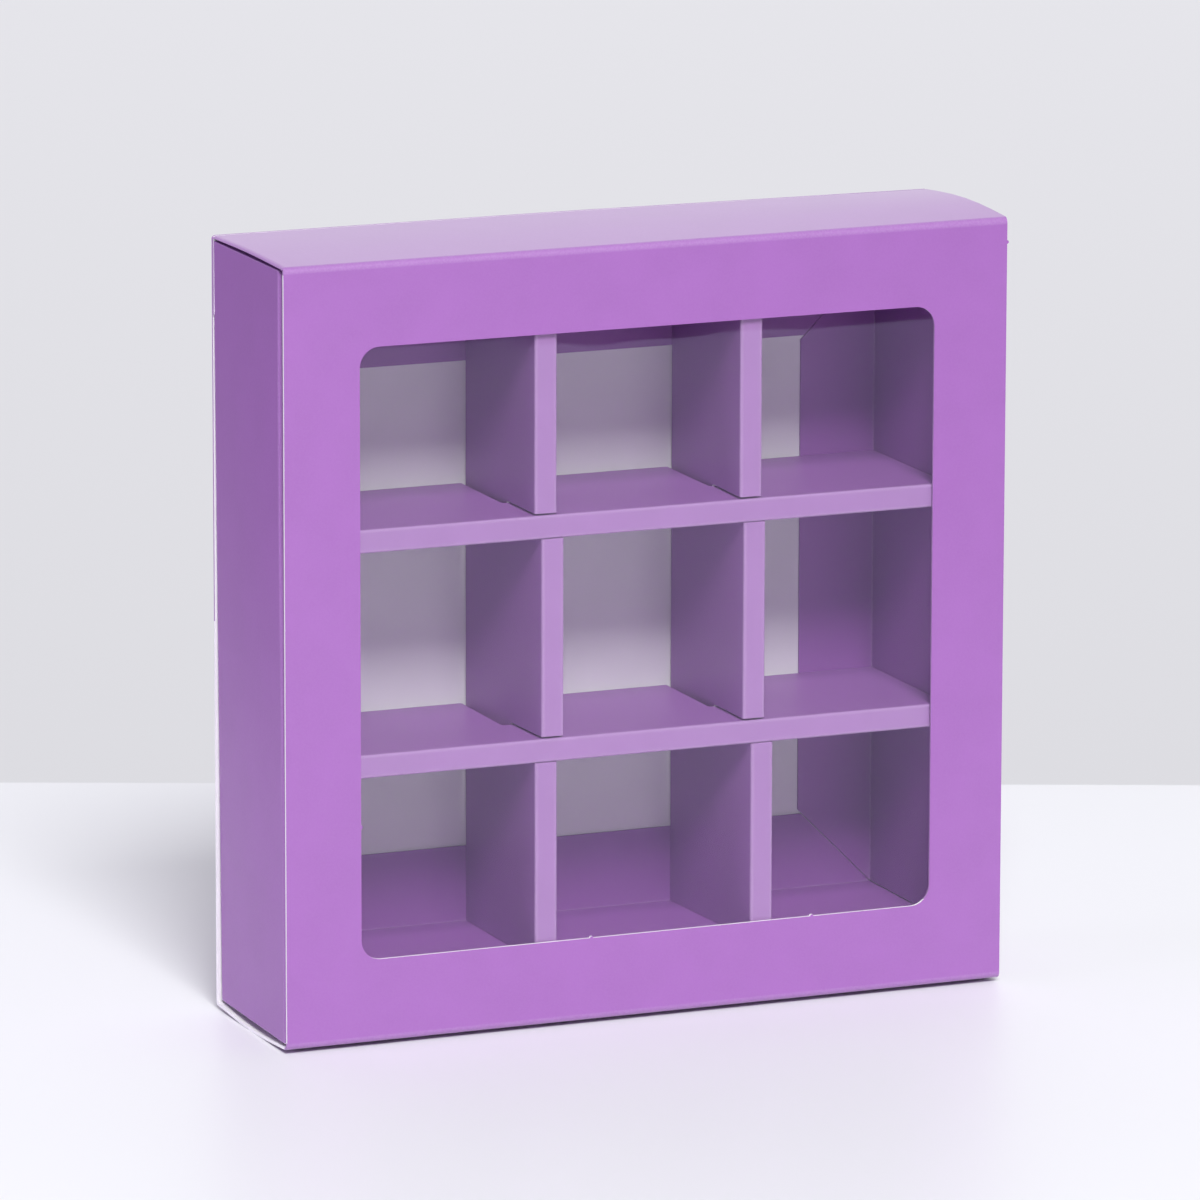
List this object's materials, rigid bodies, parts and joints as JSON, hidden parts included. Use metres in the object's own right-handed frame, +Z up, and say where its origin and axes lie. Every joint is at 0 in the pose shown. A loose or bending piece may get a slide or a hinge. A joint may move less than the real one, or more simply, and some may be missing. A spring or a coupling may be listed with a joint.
{
  "type": "windowed partition carton",
  "caption": "Flat square board carton: a windowed slip sleeve over a hollow-walled tray that folded cross ribs divide into equal cells.",
  "frame": {"origin": "middle of the sleeve's underside, where the carton stands on a table", "axes": "+X along the sleeve towards its right-hand open end, +Y from the window to the back, +Z up"},
  "size_m": [0.137, 0.0356, 0.1388],
  "materials": {
    "sleeve_board": "satin printed board, white core and inside",
    "tray_board": "satin printed board, white core and inside",
    "rib_board": "satin printed board",
    "white_board": "matt uncoated board",
    "window_film": "clear gloss film"
  },
  "bodies": {
    "sleeve": {"sleeve_front_panel": "sleeve_board", "sleeve_top_panel": "sleeve_board", "sleeve_back_panel": "sleeve_board", "sleeve_bottom_panel": "sleeve_board", "sleeve_glue_flap": "white_board", "window_film": "window_film"},
    "tray": {"tray_floor": "white_board", "left_outer_wall": "tray_board", "right_outer_wall": "tray_board", "upper_outer_wall": "tray_board", "lower_outer_wall": "tray_board", "left_rim": "tray_board", "right_rim": "tray_board", "upper_rim": "tray_board", "lower_rim": "tray_board", "left_inner_wall": "tray_board", "right_inner_wall": "tray_board", "upper_inner_wall": "tray_board", "lower_inner_wall": "tray_board", "left_floor_flange": "tray_board", "right_floor_flange": "tray_board", "upper_floor_flange": "tray_board", "lower_floor_flange": "tray_board", "upper_left_glue_tab": "white_board", "upper_right_glue_tab": "white_board", "lower_left_glue_tab": "white_board", "lower_right_glue_tab": "white_board", "upper_cross_rib": "rib_board", "lower_cross_rib": "rib_board", "left_upright_rib": "rib_board", "right_upright_rib": "rib_board"}
  },
  "joints": [
    {"name": "tray_slide", "type": "slide", "parent": "sleeve", "child": "tray", "axis": [1, 0, 0], "range_m": [-0.138, 0.138]}
  ]
}
